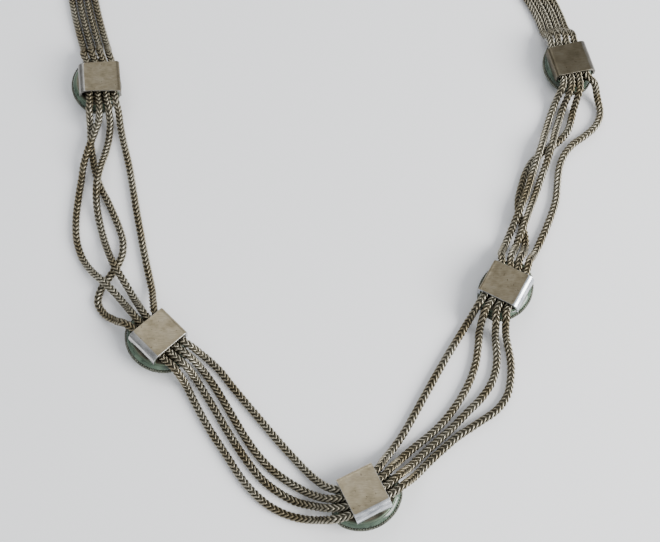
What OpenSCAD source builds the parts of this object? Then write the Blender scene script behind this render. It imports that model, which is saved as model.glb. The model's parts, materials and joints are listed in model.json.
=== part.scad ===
// Four-strand foxtail chain necklace with five stone stations and a bolt-ring clasp.
// It lies on its stones in an open U, +Y towards the clasp, +Z up, with its backs up.
// Millimetres. The origin is the middle of its footprint, on the surface it lies on.

/* [Chain] */
// Diameter of one foxtail strand
strand_d = 1.8; // [1.6:0.05:1.85]
// Distance between the middles of neighbouring strands in a station
strand_pitch = 1.9; // [1.9:0.01:1.95]
// Longest step between two rings of a strand's tube
ring_step = 2.1; // [2:0.1:3.2]

/* [Station] */
// Length of the slide strap along the chain
strap_length = 8; // [7:0.1:9]
// Thickness of the strap's sheet
strap_sheet = 0.6; // [0.4:0.05:0.8]
// Inner width of the channel that the strands run in
channel_width = 8.5; // [8.3:0.05:8.8]
// How far the channel's middle lies outward of the strands' middle
strap_shift = 0.3; // [0.2:0.05:0.35]
// Inner height of the channel
channel_height = 2.0; // [1.95:0.05:2.4]
// Outer radius of the strap's fold on the outer side of the U
outer_fold_r = 1.7; // [1:0.05:1.8]
// Outer radius of the strap's fold on the inner side of the U
inner_fold_r = 0.8; // [0.75:0.05:1.5]
// Thickness of the oval setting plate
plate_thickness = 0.5; // [0.4:0.05:0.8]
// Width of the notched bezel's wire
bezel_width = 0.45; // [0.3:0.05:0.6]
// Height of the notched bezel
bezel_height = 1.0; // [0.7:0.05:1.2]

/* [Stone] */
// Length of the stone along the chain
stone_length = 14.4; // [13:0.1:15]
// Width of the stone across the chain
stone_width = 10.8; // [10.4:0.1:12]
// How far the stone's middle lies outward of the strands' middle
stone_shift = 1.2; // [0.8:0.1:1.5]
// Depth of the stone's domed front
dome_depth = 2.2; // [1.8:0.1:3]
// Height of the stone's straight girdle
girdle_height = 0.5; // [0.3:0.05:0.8]
// Height and width of the bevel between the girdle and the stone's back
bevel = 0.6; // [0.4:0.05:0.8]

/* [End caps] */
// Depth of the pocket that the strands are soldered into
pocket_depth = 4; // [3:0.1:4.5]
// Height of an end cap
cap_height = 3; // [2.8:0.1:3.2]
// Radius of the hole in an end cap's eye
eye_hole_r = 0.8; // [0.75:0.01:0.9]

/* [Clasp] */
// Radius of the clasp ring at the middle of its tube
case_radius = 4; // [3.9:0.05:4.3]
// Outer radius of the clasp's tube
tube_r = 0.95; // [0.9:0.01:0.97]
// Inner radius of the clasp's tube
tube_bore_r = 0.65; // [0.64:0.005:0.66]
// Radius of the bolt's wire
bolt_r = 0.57; // [0.55:0.005:0.58]
// How far the bolt slides back, in degrees round the ring
bolt_travel = 60; // [40:1:62]
// Radius of the jump ring at the middle of its wire
link_radius = 2.0; // [1.95:0.01:2.1]
// Radius of the jump ring's wire
link_wire_r = 0.4; // [0.3:0.01:0.42]
// Radius of the catch ring at the middle of its wire
catch_radius = 2.6; // [2.4:0.05:3]
// Radius of the catch ring's wire
catch_wire_r = 0.45; // [0.3:0.01:0.48]

/* [Hidden] */
STRANDS = ["a", "b", "c", "d"]; // a is nearest the inside of the U
BODIES = ["left_end", "station_1", "station_2", "station_3", "station_4", "station_5", "right_end"];

// How the chain passes each end cap and station, from the left cap round to the right cap:
// x, y, heading of the chain in degrees, how far the outer side is raised in degrees, and how much
// of stone_shift the stone lies outward of the strands
PLACES = [
    [-41.5, 84, 214, 0, 0],
    [-54.5, 1.5, -82, 9, 1],
    [-36.5, -62, -44, 10, 1],
    [7.5, -95, 26, 10, 1],
    [39, -50.5, 60, 7, 0.3],
    [58, 6.5, 103, 1, 0.1],
    [12, 83, 136, 0, 0],
];
// Where the four strands lie side by side between an end cap and a station: x, y, heading and
// the height above the surface
LEFT_GUIDES = [
    [-52, 77, 226, 0], [-59.5, 66.5, 245, 0], [-63.5, 52, 263, 0], [-63.5, 38, 275, 0],
    [-61, 25, 283, 0], [-58.3, 16, 284, 0], [-57.1, 12.5, 284, 0.4], [-56, 9.2, 282, 1.9],
];
RIGHT_GUIDES = [
    [56.6, 14.1, 102, 1.9], [56.1, 17.5, 104, 0.4], [55.3, 21.5, 109, 0], [51.5, 31, 115, 0],
    [45.5, 42.5, 118, 0], [38, 55, 123, 0], [29, 66.5, 131, 0], [20.5, 75, 135, 0],
];
LEFT_FOLD = 2; // the guide that the left end folds at
RIGHT_FOLD = 4;

// The strands' routes between stations 1 and 5. Each point is a share of the straight line
// from station to station, the distance to its inner side, and the height above the surface.
ROUTES = [
    [
        [[0.12, 2.6, 1.8], [0.17, 2.1, 0.4], [0.24, 1.9, 0], [0.33, 1.9, 0], [0.5, 1.3, 0],
            [0.64, 0.9, 0], [0.76, 0.7, 0], [0.82, 0.7, 0.6], [0.87, 0.5, 2]],
        [[0.12, 0.6, 2.1], [0.17, -0.3, 0.6], [0.22, -1.5, 0], [0.27, -2.9, 0.3], [0.33, -4.6, 1.5],
            [0.385, -5.9, 2], [0.44, -6.9, 1.3], [0.5, -7.4, 0.4], [0.57, -7.4, 0], [0.64, -6.9, 0.9],
            [0.7, -6.1, 2], [0.76, -4.9, 1.6], [0.83, -3.5, 0.9], [0.88, -2.4, 2.2]],
        [[0.12, -1.5, 2.6], [0.18, -3.5, 2.2], [0.24, -5.9, 2], [0.29, -7.9, 1.2], [0.35, -9.6, 0],
            [0.43, -11.4, 0], [0.5, -12.7, 0], [0.57, -13.3, 0], [0.64, -12.8, 0], [0.7, -11.2, 0.9],
            [0.745, -9.4, 2], [0.79, -7.6, 1.9], [0.84, -5.9, 1.4], [0.89, -4.4, 2.5]],
        [[0.12, -3.9, 2], [0.165, -5, 0.4], [0.21, -5.6, 0], [0.27, -5.9, 0], [0.33, -6, 0],
            [0.4, -5.5, 0], [0.45, -4.7, 0], [0.5, -4.1, 0], [0.57, -3.4, 0], [0.62, -3.3, 0],
            [0.66, -4, 0], [0.7, -5.8, 0], [0.735, -8.2, 0], [0.77, -10.4, 0], [0.81, -11.5, 0],
            [0.855, -10.7, 0.3], [0.895, -8.5, 1.8]],
    ],
    [
        [[0.13, 2.9, 1.8], [0.18, 3.1, 0.4], [0.25, 2.8, 0], [0.35, 1.5, 0], [0.5, -0.3, 0],
            [0.62, -1.7, 0], [0.7, -2.5, 0], [0.77, -3.1, 0.2], [0.83, -3.4, 1.3], [0.88, -3.2, 2.7]],
        [[0.13, 0.9, 2], [0.19, 0.7, 0.4], [0.26, -0.2, 0], [0.32, -1.3, 0], [0.4, -3, 0], [0.5, -5.1, 0],
            [0.57, -6.3, 0], [0.65, -7.1, 0], [0.73, -7.1, 0], [0.8, -6.7, 0.5], [0.86, -6, 1.8],
            [0.913, -4.7, 3.1]],
        [[0.13, -1.1, 2.1], [0.19, -1.5, 0.5], [0.26, -2.8, 0], [0.33, -4.2, 0], [0.4, -5.7, 0],
            [0.5, -7.7, 0], [0.57, -8.9, 0], [0.65, -9.9, 0], [0.73, -10, 0], [0.81, -9.3, 0.2],
            [0.87, -8, 1.4], [0.935, -6.1, 3.1]],
        [[0.12, -3, 2.3], [0.18, -3.8, 0.6], [0.26, -5.8, 0], [0.36, -8.1, 0], [0.5, -10.7, 0],
            [0.57, -12, 0], [0.65, -13, 0], [0.72, -13.3, 0], [0.79, -12.8, 0], [0.86, -11.4, 0.2],
            [0.92, -9.4, 1.4], [0.968, -7.5, 3.1]],
    ],
    [
        [[0.15, 0.7, 1.7], [0.21, 0.5, 0.3], [0.28, 0.5, 0], [0.38, 0.9, 0], [0.5, 1.5, 0],
            [0.64, 2.1, 0], [0.76, 2.4, 0], [0.82, 2.6, 0.4], [0.87, 2.7, 1.9]],
        [[0.14, -1.4, 2.1], [0.2, -2.1, 0.4], [0.26, -2.9, 0], [0.32, -3.9, 0], [0.4, -4.9, 0],
            [0.5, -5.3, 0], [0.6, -4.9, 0], [0.68, -3.8, 0], [0.75, -2.1, 0], [0.82, -0.1, 0.5],
            [0.87, 0.8, 2.1]],
        [[0.13, -3.5, 2.4], [0.19, -4.4, 0.6], [0.25, -5.1, 0], [0.32, -6, 0], [0.4, -7.1, 0],
            [0.5, -8.1, 0], [0.58, -8.9, 0], [0.66, -8.8, 0], [0.73, -7.5, 0], [0.79, -5.3, 0],
            [0.835, -3.2, 0.5], [0.875, -1.6, 2.2]],
        [[0.12, -5.6, 2.7], [0.18, -6.5, 0.8], [0.25, -7.2, 0], [0.32, -8.1, 0], [0.4, -9.3, 0],
            [0.45, -10.4, 0], [0.5, -11.5, 0], [0.57, -12.9, 0], [0.64, -13.1, 0], [0.71, -11.7, 0],
            [0.77, -9.7, 0], [0.82, -7.2, 0.2], [0.875, -4.2, 2.1]],
    ],
    [
        [[0.12, 2.8, 1.9], [0.18, 2.4, 0.7], [0.26, 1.9, 1.1], [0.335, 1.5, 2], [0.42, 1.1, 1.6],
            [0.5, 1, 1.5], [0.56, 0.9, 1.9], [0.62, 0.8, 1.9], [0.7, 0.7, 0.5], [0.78, 0.6, 0],
            [0.84, 0.3, 1], [0.88, -0.1, 2.5]],
        [[0.12, 0.7, 2.1], [0.17, 0.2, 1.2], [0.225, -0.1, 1.7], [0.28, -0.3, 2], [0.34, -0.6, 1.3],
            [0.41, -1, 0.2], [0.5, -1.3, 0.4], [0.57, -1.5, 0.9], [0.64, -1.5, 2], [0.7, -1.5, 1.1],
            [0.77, -1.7, 0], [0.83, -1.8, 0.7], [0.885, -2.1, 2.3]],
        [[0.12, -1.3, 2.3], [0.17, -2, 0.5], [0.22, -1.8, 0], [0.27, -0.5, 0], [0.32, 1.2, 0],
            [0.37, 2.2, 0], [0.44, 2.5, 0], [0.5, 2.4, 0], [0.55, 1.8, 0], [0.6, 0.2, 0],
            [0.64, -1.6, 0], [0.68, -3.2, 0], [0.73, -4.3, 0], [0.8, -4.4, 0], [0.85, -4.2, 0.7],
            [0.9, -4, 2.3]],
        [[0.12, -3.4, 2.5], [0.18, -4.4, 0.6], [0.25, -5.1, 0], [0.34, -5.7, 0], [0.42, -5.9, 0],
            [0.5, -5.2, 0], [0.57, -4.7, 0], [0.63, -5.1, 0], [0.68, -6.3, 0], [0.73, -8.4, 0],
            [0.79, -10.3, 0], [0.85, -10.6, 0], [0.9, -9.2, 0.6], [0.937, -7.2, 2.3]],
    ],
];
FOLD_SHARE = 0.5; // the share of a span at which it folds, where every strand has a point

oval_tip = 4; // radius of the small arcs at the ends of the stone's oval
slice = 0.02; // thickness of the slices that the stone is hulled from
dome_step = 18; // degrees of the dome between two slices
strand_r = strand_d / 2;
strand_sides = 8;
fold_gap = 0.9; // from the fold's axis to each strand's cut end
end_taper = [0.55, 0.6]; // a cut end's radius as a share, and the length it tapers over
end_depth = 0.2; // clearance between a strand's end and the pocket's floor

girdle_z = dome_depth;
back_z = dome_depth + girdle_height + bevel;
plate_top = back_z + plate_thickness;
channel_mid = plate_top + channel_height / 2;
strap_top = plate_top + channel_height + strap_sheet;
rim_margin = 1.2; // a strand stays level this far beyond the setting plate's rim
rim_half = [stone_length / 2 - bevel + rim_margin, stone_width / 2 - bevel + rim_margin];
rim_run = 5.3; // and then comes down to the surface within this distance
mouth = strap_length / 2 + 0.3; // the strands may turn this far from a station's middle
channel_stops = [-mouth, -mouth + 1.5, 0, mouth - 1.5, mouth];
bezel_low = girdle_z - 0.4; // the bezel grips the dome just below the girdle
stone_half = [stone_length / 2, stone_width / 2];
plate_half = [stone_half[0] - bevel, stone_half[1] - bevel];

cap_mid = cap_height / 2;
cap_length = pocket_depth + 1;
cap_wall = 0.65;
pocket_width = 7.9;
cap_width = pocket_width + 2 * cap_wall;
cap_neck_length = 3.5;
cap_neck_width = 3.2;
eye_thickness = 1.2;
eye_outer_r = 1.5;
eye_x = cap_length + cap_neck_length + 2.2;
eye_z = 1.6;

case_eye_radius = 1.0;
case_eye_wire_r = 0.35;
link_x = eye_x + link_radius;
case_eye_x = link_x + link_radius;
case_x = case_eye_x + case_eye_radius + tube_r + case_radius - 0.15;
gap_start = -25; // the ring's opening, in degrees from the outward direction
gap_end = 35;
bolt_start = gap_start - 8;
bolt_end = gap_end + 60;
lever_at = gap_end + 15;
lever_r = 0.28;
lever_length = 1.5;
lever_pad = [0.6, 1.3, 1.4];
slot_half_height = lever_r + 0.05;
slot_margin = 6;
stop_start = bolt_end + 105;
stop_arc = 8;
spring_turns = 12;
spring_radius = 0.43;
spring_wire_r = 0.08;
spring_steps = 8; // rings of the spring's tube in one turn
spring_sides = 5;

STATION_NODES = [for (k = [1:5]) each [
    str("station_", k, "_slide_strap"), str("station_", k, "_setting_plate"),
    str("station_", k, "_bezel"), str("station_", k, "_stone"),
]];
STRAND_NODES = [for (b = BODIES) each [for (s = STRANDS) str(b, "_strand_", s)]];

$fn = 48;

// ---- Placing ----

function unit(v) = v / norm(v);
function direction(angle) = [cos(angle), sin(angle), 0];
function inward(angle) = [-sin(angle), cos(angle), 0];
function spot(k) = [PLACES[k][0], PLACES[k][1], 0];

// How far outward of the strands' middle the stone of station k lies
function shift(k) = stone_shift * PLACES[k][4];

// The tilted dome rolls on its ellipse, which lifts its middle a little
function tilt_lift(k) =
    let (t = PLACES[k][3])
    sqrt(pow(stone_width / 2 * sin(t), 2) + pow(dome_depth * cos(t), 2)) - dome_depth - shift(k) * sin(t);

function is_cap(k) = k == 0 || k == len(PLACES) - 1;

// The middle of strand i at place k, a distance along the chain from the place's middle
function slot(k, i, along) =
    let (
        side = (1.5 - i) * strand_pitch,
        t = PLACES[k][3],
        up = is_cap(k) ? 0 : channel_mid - girdle_z,
        base = is_cap(k) ? cap_mid : girdle_z + tilt_lift(k),
        across = side * cos(t) + up * sin(t),
        height = base - side * sin(t) + up * cos(t)
    )
    spot(k) + along * direction(PLACES[k][2]) + across * inward(PLACES[k][2]) + [0, 0, height];

// The middle of strand i where the four lie side by side
function guide_point(g, i) =
    [g[0], g[1], strand_r + g[3]] + (1.5 - i) * strand_pitch * inward(g[2]);

// A route's point between stations k and k + 1
function route_point(k, p) =
    let (line = spot(k + 1) - spot(k), e = unit(line))
    spot(k) + p[0] * line + p[1] * [-e[1], e[0], 0] + [0, 0, strand_r + p[2]];

// Every point that strand i passes through, from the left end cap to the right one
function strand_points(i) = concat(
    [for (along = [-pocket_depth + end_depth, -1, 1.5]) slot(0, i, along)],
    [for (g = LEFT_GUIDES) guide_point(g, i)],
    [for (k = [1:5]) each concat(
        [for (along = channel_stops) slot(k, i, along)],
        k < 5 ? [for (p = ROUTES[k - 1][i]) route_point(k, p)] : []
    )],
    [for (g = RIGHT_GUIDES) guide_point(g, i)],
    [for (along = [-1.5, 1, pocket_depth - end_depth]) slot(6, i, along)]
);

// Where in strand_points(i) each span folds
function fold_index(span, i) =
    span == 0 ? 3 + LEFT_FOLD
    : span == 5 ? route_start(5, i) + RIGHT_FOLD
    : route_start(span, i) + search_share(ROUTES[span - 1][i], 0);
function route_start(span, i) =
    3 + len(LEFT_GUIDES) + span * len(channel_stops)
    + (span > 1 ? total([for (s = [0:span - 2]) s < len(ROUTES) ? len(ROUTES[s][i]) : 0]) : 0);
function search_share(route, n) = route[n][0] == FOLD_SHARE ? n : search_share(route, n + 1);
function total(list, n = 0) = n == len(list) ? 0 : list[n] + total(list, n + 1);

// ---- Sweeping a round strand along its points ----

// The direction of a smooth curve at point n, weighted by how near its neighbours are
function tangent(points, n) =
    n == 0 ? unit(points[1] - points[0])
    : n == len(points) - 1 ? unit(points[n] - points[n - 1])
    : let (before = points[n] - points[n - 1], after = points[n + 1] - points[n])
        unit(before / norm(before) * norm(after) + after / norm(after) * norm(before));

// How high the middle of a strand lies at p on account of station k: on its setting plate, and
// easing down beyond the plate's rim
function height_over(p, k) =
    let (
        t = PLACES[k][3],
        up = plate_top + strand_r - girdle_z,
        from = [p[0], p[1], 0] - spot(k),
        along = from * direction(PLACES[k][2]),
        side = (from * inward(PLACES[k][2]) - up * sin(t)) / cos(t),
        reach = norm([along / rim_half[0], (side + shift(k)) / rim_half[1]]),
        beyond = min(1, max(0, reach - 1) * rim_half[0] / rim_run),
        top = girdle_z + tilt_lift(k) + up * cos(t) - side * sin(t)
    )
    top * (1 - beyond * beyond * (3 - 2 * beyond));
function rest_height(p) = max(strand_r, max([for (k = [1:5]) height_over(p, k)]));

// The curve between points n and n + 1, at share t, never below what the strand rests on
function curve(points, n, t) =
    let (
        size = norm(points[n + 1] - points[n]),
        t2 = t * t,
        t3 = t2 * t,
        p = (2 * t3 - 3 * t2 + 1) * points[n] + (t3 - 2 * t2 + t) * size * tangent(points, n)
            + (3 * t2 - 2 * t3) * points[n + 1] + (t3 - t2) * size * tangent(points, n + 1)
    )
    [p[0], p[1], max(p[2], rest_height(p))];

// The middles of the tube's rings between points first and last
function curve_middles(points, first, last) = [
    for (n = [first:last - 1])
        let (steps = max(1, round(norm(points[n + 1] - points[n]) / ring_step)))
        each [for (s = [(n == first ? 1 : 0):steps - 1]) curve(points, n, s / steps)]
];

function ring(middle, along, radius, sides) =
    let (side = unit(cross(along, [0, 0, 1])), up = cross(side, along), corner_r = radius / cos(180 / sides))
    [for (s = [0:sides - 1])
        let (angle = (s + 0.5) * 360 / sides)
        middle + corner_r * (cos(angle) * side + sin(angle) * up)];

module tube(middles, radii, sides) {
    count = len(middles);
    rings = [for (n = [0:count - 1])
        each ring(middles[n], unit(middles[min(n + 1, count - 1)] - middles[max(n - 1, 0)]), radii[n], sides)];
    walls = [for (n = [0:count - 2], s = [0:sides - 1])
        let (a = n * sides + s, b = n * sides + (s + 1) % sides)
        each [[a, b, b + sides], [a, b + sides, a + sides]]];
    caps = [
        [for (s = [sides - 1:-1:0]) s],
        [for (s = [0:sides - 1]) (count - 1) * sides + s],
    ];
    polyhedron(rings, concat(walls, caps));
}

// One strand's stretch on one body: cut at the folds, with eased ends there
module strand(body, i) {
    points = strand_points(i);
    first = body == 0 ? 0 : fold_index(body - 1, i);
    last = body == 6 ? len(points) - 1 : fold_index(body, i);
    from = points[first];
    to = points[last];
    away = tangent(points, first);
    back = -tangent(points, last);
    head = body == 0 ? [from] : [from + fold_gap * away, from + (fold_gap + end_taper[1]) * away];
    tail = body == 6 ? [to] : [to + (fold_gap + end_taper[1]) * back, to + fold_gap * back];
    middles = concat(head, curve_middles(points, first, last), tail);
    radii = [for (n = [0:len(middles) - 1])
        let (cut = (n == 0 && body > 0) || (n == len(middles) - 1 && body < 6))
        strand_r * (cut ? end_taper[0] : 1)];
    color("darkgray") tube(middles, radii, strand_sides);
}

// ---- Station ----

module at_station(k) {
    translate(spot(k) + [0, 0, girdle_z + tilt_lift(k)])
        rotate([0, 0, PLACES[k][2]])
            rotate([-PLACES[k][3], 0, 0])
                translate([0, 0, -girdle_z])
                    children();
}

module at_stone(k) {
    at_station(k) translate([0, -shift(k), 0]) children();
}

module quarter_disc(radius) {
    intersection() {
        circle(radius);
        square(radius);
    }
}

// A flat arch from y = low to y = high, with its legs down to 0 and a radius for each upper corner
module arch(low, high, height, low_r, high_r) {
    translate([low, 0]) square([low_r, height - low_r]);
    translate([low + low_r, 0]) square([high - low - low_r - high_r, height]);
    translate([high - high_r, 0]) square([high_r, height - high_r]);
    translate([low + low_r, height - low_r]) mirror([1, 0]) quarter_disc(low_r);
    translate([high - high_r, height - high_r]) quarter_disc(high_r);
}

module slide_strap() {
    low = -channel_width / 2 - strap_shift;
    high = channel_width / 2 - strap_shift;
    color("silver")
        translate([-strap_length / 2, 0, plate_top])
            rotate([90, 0, 90])
                linear_extrude(strap_length)
                    difference() {
                        arch(low - strap_sheet, high + strap_sheet, channel_height + strap_sheet,
                            outer_fold_r, inner_fold_r);
                        arch(low, high, channel_height, outer_fold_r - strap_sheet,
                            inner_fold_r - strap_sheet);
                    }
}

// An oval of four arcs, with half its length and width in half; tip is its end arcs' radius
module oval(half, tip, grow = 0) {
    spread = half[0] - tip;
    rise = half[1] - tip;
    drop = (spread * spread - rise * rise) / (2 * rise);
    side_r = half[1] + drop + grow;
    join = spread * side_r / (drop + rise);
    intersection() {
        translate([0, -drop]) circle(side_r);
        translate([0, drop]) circle(side_r);
        square([2 * join, 4 * half[1]], center = true);
    }
    for (end = [-1, 1])
        translate([end * spread, 0]) circle(tip + grow);
}

module setting_plate() {
    color("dimgray") translate([0, 0, back_z])
        linear_extrude(plate_thickness) oval(plate_half, oval_tip - bevel);
}

module bezel() {
    color("slategray") translate([0, 0, bezel_low])
        linear_extrude(bezel_height) difference() {
            oval(stone_half, oval_tip, bezel_width);
            oval(stone_half, oval_tip);
        }
}

module stone_slice(z, inset) {
    share = 1 - inset / stone_half[1];
    translate([0, 0, z]) linear_extrude(slice, $fn = 32)
        scale(share) oval(stone_half, oval_tip);
}

module stone() {
    color("darkseagreen") hull() {
        for (a = [0:dome_step:90 - dome_step])
            stone_slice(girdle_z - dome_depth * cos(a), stone_half[1] * (1 - sin(a + dome_step / 4)));
        stone_slice(girdle_z + girdle_height - slice, 0);
        stone_slice(back_z - slice, bevel);
    }
}

// ---- End caps and clasp, drawn along +X from the mouth of the cap ----

module at_end(k) {
    translate(spot(k)) rotate([0, 0, PLACES[k][2] + (k == 0 ? 180 : 0)]) children();
}

module torus(radius, wire_r) {
    rotate_extrude() translate([radius, 0]) circle(wire_r);
}

module arc(radius, from, to) {
    rotate([0, 0, from]) rotate_extrude(angle = to - from) translate([radius, 0]) children();
}

module end_cap() {
    color("darkgray") difference() {
        union() {
            linear_extrude(cap_height) polygon([
                [0, -cap_width / 2], [cap_length, -cap_width / 2],
                [cap_length + cap_neck_length, -cap_neck_width / 2],
                [cap_length + cap_neck_length, cap_neck_width / 2],
                [cap_length, cap_width / 2], [0, cap_width / 2],
            ]);
            translate([0, eye_thickness / 2, 0]) rotate([90, 0, 0]) linear_extrude(eye_thickness) {
                translate([cap_length, 0.1]) square([eye_x - cap_length, 2 * eye_outer_r]);
                translate([eye_x, eye_z]) circle(eye_outer_r);
            }
        }
        translate([-1, -pocket_width / 2, cap_mid - channel_height / 2])
            cube([pocket_depth + 1, pocket_width, channel_height]);
        translate([eye_x, eye_thickness, eye_z]) rotate([90, 0, 0])
            cylinder(r = eye_hole_r, h = 2 * eye_thickness);
    }
}

module clasp_jump_ring() {
    color("silver") translate([link_x, 0, eye_z]) torus(link_radius, link_wire_r);
}

module clasp_case() {
    color("silver") {
        translate([case_x, 0, tube_r]) difference() {
            union() {
                arc(case_radius, gap_end, gap_start + 360) difference() {
                    circle(tube_r);
                    circle(tube_bore_r);
                }
                arc(case_radius, stop_start, stop_start + stop_arc) circle(tube_bore_r + 0.05);
            }
            arc(case_radius, lever_at - slot_margin, lever_at + bolt_travel + slot_margin)
                translate([tube_bore_r / 2, -slot_half_height]) square([tube_r, 2 * slot_half_height]);
        }
        translate([case_eye_x, 0, eye_z]) rotate([90, 0, 0]) torus(case_eye_radius, case_eye_wire_r);
    }
}

module clasp_bolt() {
    color("gray") translate([case_x, 0, tube_r])
        arc(case_radius, bolt_start, bolt_end) circle(bolt_r);
}

module clasp_thumb_lever() {
    color("gray") translate([case_x, 0, tube_r]) rotate([0, 0, lever_at]) {
        translate([case_radius + bolt_r - 0.1, 0, 0]) rotate([0, 90, 0]) cylinder(r = lever_r, h = lever_length);
        translate([case_radius + bolt_r - 0.1 + lever_length, -lever_pad[1] / 2, -lever_pad[2] / 2])
            cube(lever_pad);
    }
}

// The coil spring, wound round the middle line of the clasp's tube
module clasp_spring() {
    arc_length = stop_start - bolt_end;
    count = spring_turns * spring_steps;
    middles = [for (n = [0:count])
        let (
            round_ring = bolt_end + 1 + (arc_length - 2) * n / count,
            round_wire = 360 * n / spring_steps,
            out = case_radius + spring_radius * cos(round_wire)
        )
        [out * cos(round_ring), out * sin(round_ring), spring_radius * sin(round_wire)]];
    color("lightgray") translate([case_x, 0, tube_r])
        tube(middles, [for (n = middles) spring_wire_r], spring_sides);
}

module catch_ring() {
    droop = asin((eye_z - catch_wire_r) / (2 * catch_radius));
    color("silver") translate([eye_x, 0, eye_z]) rotate([0, droop, 0])
        translate([catch_radius, 0, 0]) torus(catch_radius, catch_wire_r);
}

for (k = [1:5]) {
    at_station(k) slide_strap();
    at_stone(k) setting_plate();
    at_stone(k) bezel();
    at_stone(k) stone();
}
for (b = [0:6], i = [0:3])
    strand(b, i);
at_end(0) end_cap();  // left_end_cap
at_end(6) end_cap();  // right_end_cap
at_end(0) clasp_jump_ring();
at_end(0) clasp_case();
at_end(0) clasp_bolt();
at_end(0) clasp_thumb_lever();
at_end(0) clasp_spring();
at_end(6) catch_ring();
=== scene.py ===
"""Chain necklace: four foxtail strands, five stone stations, two end caps and a bolt-ring clasp.

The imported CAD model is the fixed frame. This script builds the looks around it, in metres, with
+Y towards the clasp and +Z up. The necklace lies with its backs up, so the stones face down.
"""

import json
import math

import bpy
import numpy as np
from mathutils import Matrix, Vector

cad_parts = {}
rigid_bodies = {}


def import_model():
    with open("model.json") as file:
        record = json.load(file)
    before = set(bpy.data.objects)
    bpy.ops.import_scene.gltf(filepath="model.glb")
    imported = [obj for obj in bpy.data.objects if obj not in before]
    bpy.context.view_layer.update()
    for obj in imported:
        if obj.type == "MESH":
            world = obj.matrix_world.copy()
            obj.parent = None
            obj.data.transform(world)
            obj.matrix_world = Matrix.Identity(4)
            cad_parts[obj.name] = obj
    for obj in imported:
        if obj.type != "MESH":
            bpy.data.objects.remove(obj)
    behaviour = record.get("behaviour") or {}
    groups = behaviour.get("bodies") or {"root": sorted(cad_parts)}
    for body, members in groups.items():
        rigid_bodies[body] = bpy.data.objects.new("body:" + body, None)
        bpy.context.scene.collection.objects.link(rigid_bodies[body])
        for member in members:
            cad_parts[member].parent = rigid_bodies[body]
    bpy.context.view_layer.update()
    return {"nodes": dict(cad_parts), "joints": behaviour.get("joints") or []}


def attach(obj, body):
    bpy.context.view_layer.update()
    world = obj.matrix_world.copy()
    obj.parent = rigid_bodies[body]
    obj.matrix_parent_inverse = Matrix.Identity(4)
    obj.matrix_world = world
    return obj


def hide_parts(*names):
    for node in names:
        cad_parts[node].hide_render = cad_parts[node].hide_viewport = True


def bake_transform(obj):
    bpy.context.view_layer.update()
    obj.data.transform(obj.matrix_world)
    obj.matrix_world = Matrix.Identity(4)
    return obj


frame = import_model()

# ---- The chain's route, as in the CAD model ----

# How the chain passes each end cap and station: x, y, heading, the outer side's tilt, and how much
# of STONE_SHIFT the stone lies outward of the strands
PLACES = [
    [-0.0415, 0.084, 214, 0, 0],
    [-0.0545, 0.0015, -82, 9, 1],
    [-0.0365, -0.062, -44, 10, 1],
    [0.0075, -0.095, 26, 10, 1],
    [0.039, -0.0505, 60, 7, 0.3],
    [0.058, 0.0065, 103, 1, 0.1],
    [0.012, 0.083, 136, 0, 0],
]
# Points between an end cap and its nearest station, which the four strands pass side by side:
# x, y, heading, and how far the strands are lifted off the surface
LEFT_GUIDES = [
    [-0.052, 0.077, 226, 0], [-0.0595, 0.0665, 245, 0], [-0.0635, 0.052, 263, 0],
    [-0.0635, 0.038, 275, 0], [-0.061, 0.025, 283, 0], [-0.0583, 0.016, 284, 0],
    [-0.0571, 0.0125, 284, 0.0004], [-0.056, 0.0092, 282, 0.0019],
]
RIGHT_GUIDES = [
    [0.0566, 0.0141, 102, 0.0019], [0.0561, 0.0175, 104, 0.0004], [0.0553, 0.0215, 109, 0],
    [0.0515, 0.031, 115, 0], [0.0455, 0.0425, 118, 0], [0.038, 0.055, 123, 0],
    [0.029, 0.0665, 131, 0], [0.0205, 0.075, 135, 0],
]
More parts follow.
